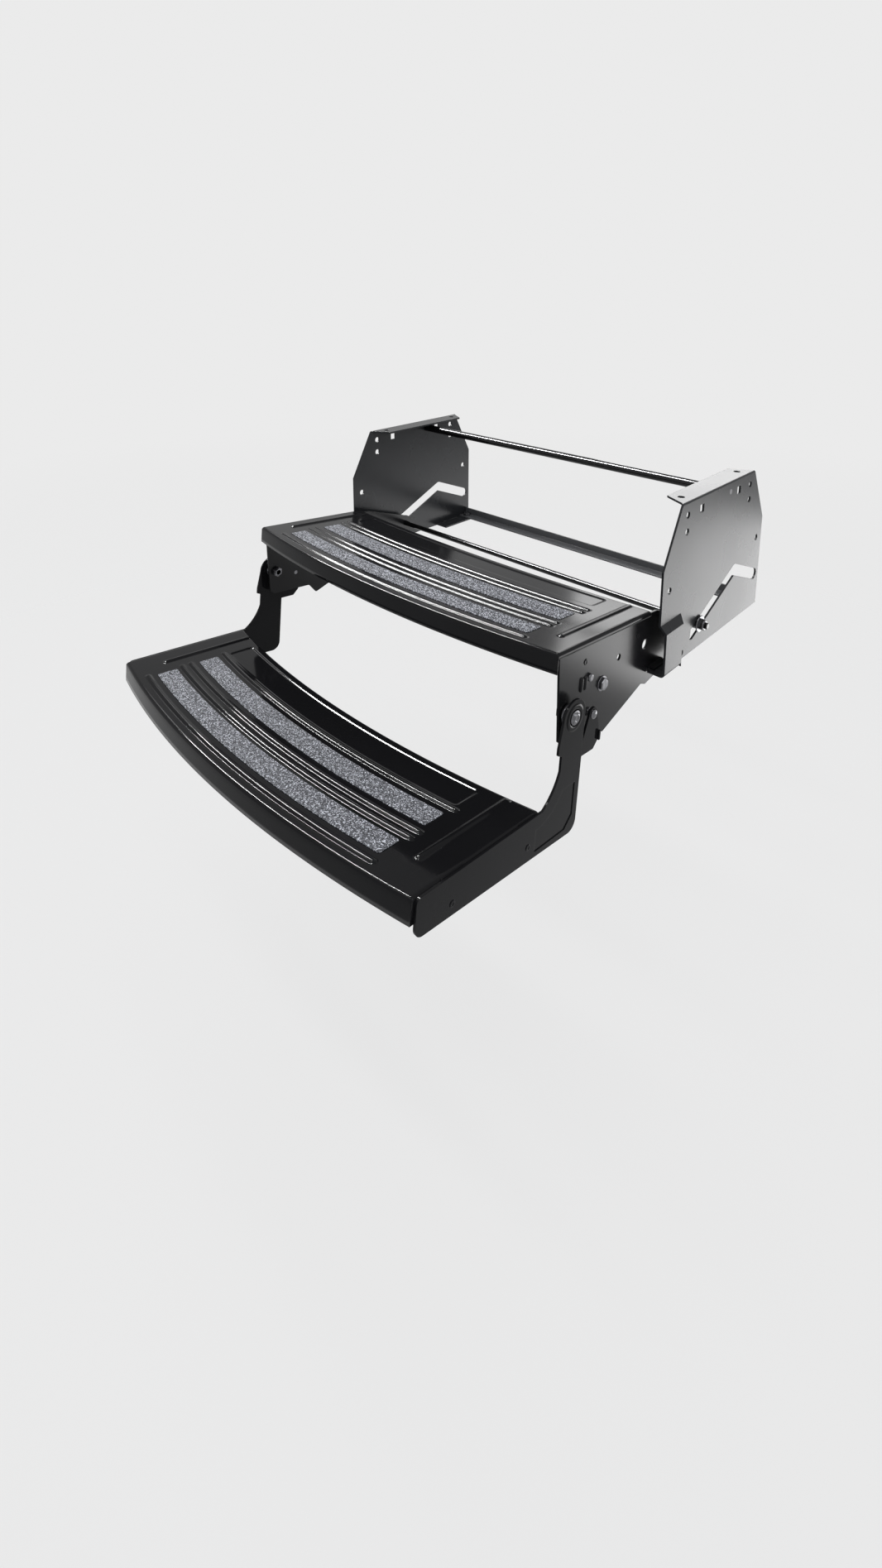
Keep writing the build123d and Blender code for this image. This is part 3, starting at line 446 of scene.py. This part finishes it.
def pressed_height(x, back, tread):
    """The height of the sheet over its flat level at one point."""
    height = 0.0
    for start, end, half_length, drop, wall in tread["recesses"]:
        outside = box_distance(x, back, half_length, start, end, RECESS_CORNER)
        height -= drop * smooth_step(0.5 - outside / wall)
    for at in tread["beads"]:
        past = max(abs(x) - BEAD_HALF + BEAD_WIDTH / 2, 0)
        height += ridge(math.hypot(past, back - at), BEAD_WIDTH, BEAD_HEIGHT)
    first, last = tread["side_bead"]
    past = max(first - back, back - last, 0)
    height += ridge(math.hypot(abs(x) - SIDE_BEAD_X, past), BEAD_WIDTH, BEAD_HEIGHT)
    return height


print("bead", BEAD_WIDTH, "mm wide and", BEAD_HEIGHT, "mm high")

# %% [markdown]
# The grid is dense only where the beads end. Past the flat field its rows and columns turn down
# through a small roll, then run on as the deep front apron and the short lips. Where an apron
# meets a lip the sheet is left open, which is the slit that the real corner shows.


# %% Lay out the grid of a tread
ROLL, SHEET, LIP = 4.0, 2.0, 7.5
MIDDLE_STEP, MIDDLE_STEPS, END_STEPS = 12.0, 19, 58


def turned_down(limit, drop, steps):
    """Places past a flat field: (place, angle of the roll, drop below the roll)."""
    places = []
    for step in range(1, 7):
        angle = math.radians(15 * step)
        places.append((limit - ROLL + ROLL * math.sin(angle), angle, 0.0))
    for step in range(1, steps + 1):
        places.append((limit, math.pi / 2, (drop - ROLL) * step / steps))
    return places


def tread_columns(half, skirt):
    """Across the tread: coarse in the middle, fine where the beads end."""
    flat = [MIDDLE_STEP * i for i in range(MIDDLE_STEPS)]
    first, edge = MIDDLE_STEP * MIDDLE_STEPS, half - ROLL
    flat += [first + (edge - first) * i / END_STEPS for i in range(END_STEPS + 1)]
    right = [(x, 0.0, 0.0) for x in flat] + turned_down(half, skirt, 2)
    left = [(-x, angle, drop) for x, angle, drop in reversed(right[1:])]
    return left + right


def tread_rows(depth, apron):
    """Along the tread, from the foot of the apron to the rear lip."""
    front = [(ROLL - (place - (depth - ROLL)), angle, drop)
             for place, angle, drop in turned_down(depth, apron, 4)]
    count = int(depth - 2 * ROLL)
    flat = [(ROLL + i * (depth - 2 * ROLL) / count, 0.0, 0.0) for i in range(count + 1)]
    return list(reversed(front)) + flat + turned_down(depth, LIP, 2)


print("a tread has", len(tread_columns(304.8, LIP)), "columns")


# %% Press one tread
def press_tread(name, tread):
    """Builds the sheet of a tread as a grid and thickens it downwards."""
    half, depth = tread["half"], tread["depth"]
    columns, rows = tread_columns(half, tread["skirt"]), tread_rows(depth, tread["apron"])
    mesh = bmesh.new()
    grid = []
    for back, row_angle, row_drop in rows:
        bulge = tread["front_bulge"] + (tread["rear_bulge"] - tread["front_bulge"]) * back / depth
        line = []
        for x, column_angle, column_drop in columns:
            z = tread["top"] - ROLL * (1 - math.cos(row_angle) * math.cos(column_angle))
            z -= row_drop + column_drop
            if row_angle == 0 and column_angle == 0:
                z += pressed_height(x, back, tread)
            line.append(mesh.verts.new(hang(x, tread["front"] + back + bulge * (x / half) ** 2, z)))
        grid.append(line)
    for i in range(len(rows) - 1):
        for j in range(len(columns) - 1):
            in_apron = rows[i][2] > 0 or rows[i + 1][2] > 0
            in_lip = columns[j][2] > 0 or columns[j + 1][2] > 0
            if not (in_apron and in_lip):
                mesh.faces.new((grid[i][j], grid[i][j + 1], grid[i + 1][j + 1], grid[i + 1][j]))
    return sheet_from(mesh, name, tread["finish"])


def sheet_from(mesh, name, finish):
    """Turns the grid into an object with the sheet's thickness below it."""
    loose = [vert for vert in mesh.verts if not vert.link_faces]
    bmesh.ops.delete(mesh, geom=loose, context="VERTS")
    for face in mesh.faces:
        face.smooth = True
    data = bpy.data.meshes.new(name)
    mesh.to_mesh(data)
    mesh.free()
    sheet = bpy.data.objects.new(name, data)
    scene.collection.objects.link(sheet)
    data.materials.append(finish)
    thick = sheet.modifiers.new("thickness", "SOLIDIFY")
    thick.thickness, thick.offset = SHEET * MM, -1
    return sheet


print("ready to press")

# %% [markdown]
# The two treads share their dies except for a few sizes, so each is a short list of numbers. The
# lower one has a single rear bead. Under each side hang two tabs that take the rivets.


# %% The two treads
TAB_WIDTH = 32


def tab(name, x, y, top, width, height):
    """A riveting tab: a rounded plate that hangs from the sheet's side."""
    mesh = bmesh.new()
    outline = []
    for across, down in ((-0.5, 0), (0.5, 0), (0.5, 0.82), (0.38, 1), (-0.38, 1), (-0.5, 0.82)):
        outline.append(mesh.verts.new(hang(x, y + across * width, top - down * height)))
    mesh.faces.new(outline)
    data = bpy.data.meshes.new(name)
    mesh.to_mesh(data)
    mesh.free()
    piece = bpy.data.objects.new(name, data)
    scene.collection.objects.link(piece)
    data.materials.append(black_enamel)
    thick = piece.modifiers.new("thickness", "SOLIDIFY")
    thick.thickness, thick.offset = SHEET * MM, 0
    return piece


upper = {
    "finish": upper_enamel, "half": 304.8, "front": -408.0, "depth": 229.0,
    "front_bulge": 30.5, "rear_bulge": 16.0,
    "top": -154.5, "apron": 25.5, "skirt": 7.5, "beads": (17.5, 73.5, 87.5, 146.5, 160.5),
    "side_bead": (52.5, 220.0),
    "recesses": ((30.6, 59.4, GRIP_HALF - 0.6, 0.8, 0.4), (100.1, 134.9, GRIP_HALF - 0.6, 0.8, 0.4),
                 (181, 217, 244, 1.5, 4.0)),
}
lower = {
    "finish": black_enamel, "half": 312.8, "front": -634.9, "depth": 200.5,
    "front_bulge": 33.0, "rear_bulge": 34.0,
    "top": -332.3, "apron": 29.0, "skirt": 29.0, "beads": (17.5, 70.0, 84.0, 139.5),
    "side_bead": (52.5, 191.5),
    "recesses": ((30.6, 59.4, GRIP_HALF - 0.6, 0.8, 0.4), (96.6, 126.4, GRIP_HALF - 0.6, 0.8, 0.4),
                 (148, 188, 244, 1.5, 4.0)),
}
tab_places = {"upper": (298.8, (-315, -191), 32), "lower": (311.8, (-545, -421.3), 42)}
for level, tread, body in (("upper", upper, "upper_step"), ("lower", lower, "lower_step")):
    sheet = press_tread(level + "_tread_sheet", tread)
    pieces = [sheet]
    side_x, backs, drop = tab_places[level]
    for side in (-1, 1):
        for order, y in enumerate(backs):
            name = f"{level}_tab_{'left' if side < 0 else 'right'}_{order}"
            pieces.append(tab(name, side * side_x, y, tread["top"] - SHEET / 2, TAB_WIDTH, drop))
    for piece in pieces:
        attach(piece, body)
        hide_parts(level + "_tread")
    print(level, "tread:", len(sheet.data.vertices), "points")

# %% [markdown]
# ## Bolts, nuts, washers and rivets
#
# Every fastener here is turned about an axis that runs across the step. So one small lathe makes
# them all: it spins a profile in 6 steps for a hexagon, or in 40 for a round piece. The chamfers
# and domes in those profiles are what catch the light.


# %% A lathe for fasteners
HEX, ROUND = 6, 40


def spin(mesh, centre, profile, steps, side):
    """Adds a turned solid. The profile lists (distance outwards, radius), all in millimetres."""
    x, y, z = centre
    rings = []
    for out, radius in profile:
        ring = []
        for step in range(steps):
            angle = 2 * math.pi * (step + 0.5) / steps
            ring.append(mesh.verts.new(hang(
                side * (x + out), y + radius * math.cos(angle), z + radius * math.sin(angle))))
        rings.append(ring)
    for near, far in zip(rings, rings[1:]):
        for step in range(steps):
            nxt = (step + 1) % steps
            face = mesh.faces.new((near[step], near[nxt], far[nxt], far[step]))
            face.smooth = steps == ROUND
    mesh.faces.new(rings[0])
    mesh.faces.new(rings[-1])


def hex_head(height, radius=8.5):
    return [(0, radius), (height * 0.72, radius), (height, radius * 0.84), (height, radius * 0.5)]


def washer(start, thickness, radius):
    rim = thickness * 0.3
    return [(start, radius - rim), (start + rim, radius), (start + thickness - rim, radius),
            (start + thickness, radius - rim)]


def dome(start, height, radius):
    return [(start, radius), (start + height * 0.45, radius * 0.93),
            (start + height * 0.85, radius * 0.6), (start + height, radius * 0.25)]


def fasteners(name, finish, body, node, build):
    """Builds one object for both sides from build(mesh, side). It replaces the node if there is one."""
    mesh = bmesh.new()
    for side in (-1, 1):
        build(mesh, side)
    bmesh.ops.recalc_face_normals(mesh, faces=mesh.faces)
    data = bpy.data.meshes.new(name)
    mesh.to_mesh(data)
    mesh.free()
    data.materials.append(finish)
    piece = bpy.data.objects.new(name, data)
    scene.collection.objects.link(piece)
    soften = piece.modifiers.new("soft_edges", "BEVEL")
    soften.width, soften.segments, soften.limit_method = 0.25 * MM, 2, "ANGLE"
    soften.angle_limit = math.radians(25)
    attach(piece, body)
    if node:
        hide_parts(node)
    print(name, "made with", len(data.vertices), "points")
    return piece


# %% [markdown]
# Each kind of fastener is now a short recipe: where its centre lies and which profiles it stacks
# up. The distances outwards start at the face that the piece sits on.

# %% Make the fasteners of the upper step
PLATE_IN, PLATE_OUT, ARM_OUT = 299.8, 302.8, 315.8
PIVOT, STOP_BOLT = (-348.0, -236.9), (-272.0, -223.5)
STUD, LATCH_PIN = (-303.5, -205.5), (-307.0, -247.0)
NUT_HEIGHT = 7
NUT = [(0, 6.4), (1.2, 8.2), (1.3, 8.5), (NUT_HEIGHT, 8.5)]


def pivot_bolt(mesh, side):
    y, z = PIVOT
    spin(mesh, (ARM_OUT, y, z), [(0.2, 9.0), (1.0, 9.0), (1.2, 8.6), (1.2, 6.9), (2.0, 6.7), (3.1, 5.6),
                                 (3.4, 4.2), (3.0, 3.2), (2.4, 2.9)], ROUND, side)
    spin(mesh, (PLATE_IN - NUT_HEIGHT, y, z), [(0, 4.4), (0.6, 5.0), (7, 5.0), (23, 5.0)], ROUND, side)


def pivot_washer(mesh, side):
    spin(mesh, (PLATE_OUT, *PIVOT), washer(0, 4.8, 12.0), ROUND, side)
    spin(mesh, (PLATE_OUT, *PIVOT), washer(5.0, 4.8, 12.0), ROUND, side)


def pivot_nut(mesh, side):
    spin(mesh, (PLATE_IN - NUT_HEIGHT, *PIVOT), NUT, HEX, side)


def stop_bolt(mesh, side):
    spin(mesh, (PLATE_OUT, *STOP_BOLT), washer(0, 1.0, 10.0), ROUND, side)
    spin(mesh, (PLATE_OUT + 1.0, *STOP_BOLT), hex_head(4.0), HEX, side)
    spin(mesh, (PLATE_IN - NUT_HEIGHT, *STOP_BOLT), NUT, HEX, side)
    spin(mesh, (PLATE_IN - NUT_HEIGHT, *STOP_BOLT), [(0, 3.4), (0.5, 4.0), (10, 4.0)], ROUND, side)


def hub_boss(mesh, side):
    """The raised ring that is pressed into the arm's hub round the bolt."""
    ring = [(0, 17.0), (0.5, 16.6), (0.9, 15.6), (0.9, 11.5), (0.4, 10.4), (0, 10.2)]
    spin(mesh, (ARM_OUT, *PIVOT), ring, ROUND, side)


def plate_stud(mesh, side):
    spin(mesh, (PLATE_OUT, *STUD), [(0, 5.0), (2.6, 5.0), (3.6, 4.3), (4.0, 3.0)], ROUND, side)


RIB_BACKS, RIB_Z, RIB_POINTS = (-320.0, -311.5), -210.5, 24
RIB_SLICES = ((0.0, 6.0, 3.6), (1.2, 6.0, 3.2), (2.0, 5.9, 2.4), (2.5, 5.7, 1.2))


def pressed_ribs(mesh, side):
    """Two rounded ribs: a row of ever smaller slices of a capsule."""
    for y in RIB_BACKS:
        for out, reach, radius in RIB_SLICES:
            ring = []
            for step in range(RIB_POINTS):
                angle = 2 * math.pi * step / RIB_POINTS
                up = radius * math.sin(angle) + math.copysign(reach, math.sin(angle + 0.01))
                back = y + radius * math.cos(angle)
                ring.append(mesh.verts.new(hang(side * (PLATE_OUT + out), back, RIB_Z + up)))
            if out:
                for step in range(RIB_POINTS):
                    nxt = (step + 1) % RIB_POINTS
                    face = mesh.faces.new((last[step], last[nxt], ring[nxt], ring[step]))
                    face.smooth = True
            last = ring
        mesh.faces.new(last)


def latch_pin(mesh, side):
    spin(mesh, (PLATE_IN, *LATCH_PIN), [(0, 3.5), (16.2, 3.5)], ROUND, side)
    spin(mesh, (PLATE_OUT, *LATCH_PIN), washer(0, 9.8, 5.5), ROUND, side)
    spin(mesh, (ARM_OUT, *LATCH_PIN), dome(0.2, 2.5, 6.0), ROUND, side)


fasteners("pivot_bolt_pair", dark_plating, "upper_step", "pivot_bolts", pivot_bolt)
fasteners("pivot_washer_stack", dark_plating, "upper_step", "pivot_washers", pivot_washer)
fasteners("pivot_nut_pair", dark_plating, "upper_step", "pivot_nuts", pivot_nut)
fasteners("stop_bolt_pair", dark_plating, "upper_step", "stop_bolts", stop_bolt)
fasteners("plate_stud_pair", dark_plating, "upper_step", "plate_studs", plate_stud)
fasteners("latch_pin_pair", dark_plating, "upper_step", "latch_pins", latch_pin)
fasteners("hub_boss_pair", black_enamel, "lower_step", None, hub_boss)
fasteners("pressed_rib_pairs", plate_enamel, "upper_step", None, pressed_ribs)

# %% [markdown]
# The slide rod carries a bush inside each slot, then a wide washer and a nut outside it. The rivets
# are low domes on both faces of the sheet and plate that they join.

# %% Make the slide hardware and the rivets
BUSH_END = 321.0
UPPER_RIVETS = [(-315.0, -182.8), (-191.0, -182.8)]
LOWER_RIVETS = [(-545.0, -366.3), (-421.3, -366.3)]
UPPER_INSIDE, LOWER_INSIDE = 297.8, 310.8


def slide_washer(mesh, side):
    spin(mesh, (BUSH_END, ROD_Y, ROD_Z), washer(0, 2.0, 12.5), ROUND, side)


def slide_nut(mesh, side):
    spin(mesh, (BUSH_END + 2.0, ROD_Y, ROD_Z), [(0, 8.5), (5.6, 8.5), (7.0, 7.3), (7.0, 5.2)], HEX, side)


def rivets(places, outside, inside):
    """A recipe for low domed rivets at the given places."""
    def build(mesh, side):
        for y, z in places:
            spin(mesh, (outside, y, z), [(0, 4.0), (0.5, 3.8), (0.8, 3.1), (0.8, 2.2), (0.3, 1.6)],
                 ROUND, side)
            spin(mesh, (inside, y, z), [(-0.8, 1.0), (-0.7, 2.4), (-0.35, 3.7), (0, 4.0)], ROUND, side)
            spin(mesh, (inside, y, z), [(0, 2.4), (outside - inside, 2.4)], ROUND, side)
    return build


fasteners("slide_washer_pair", dark_plating, "upper_step", "slide_washers", slide_washer)
fasteners("slide_nut_pair", dark_plating, "upper_step", "slide_nuts", slide_nut)
fasteners("upper_rivet_heads", black_enamel, "upper_step", "upper_tread_rivets",
          rivets(UPPER_RIVETS, PLATE_OUT, UPPER_INSIDE))
fasteners("lower_rivet_heads", black_enamel, "lower_step", "lower_tread_rivets",
          rivets(LOWER_RIVETS, ARM_OUT, LOWER_INSIDE))
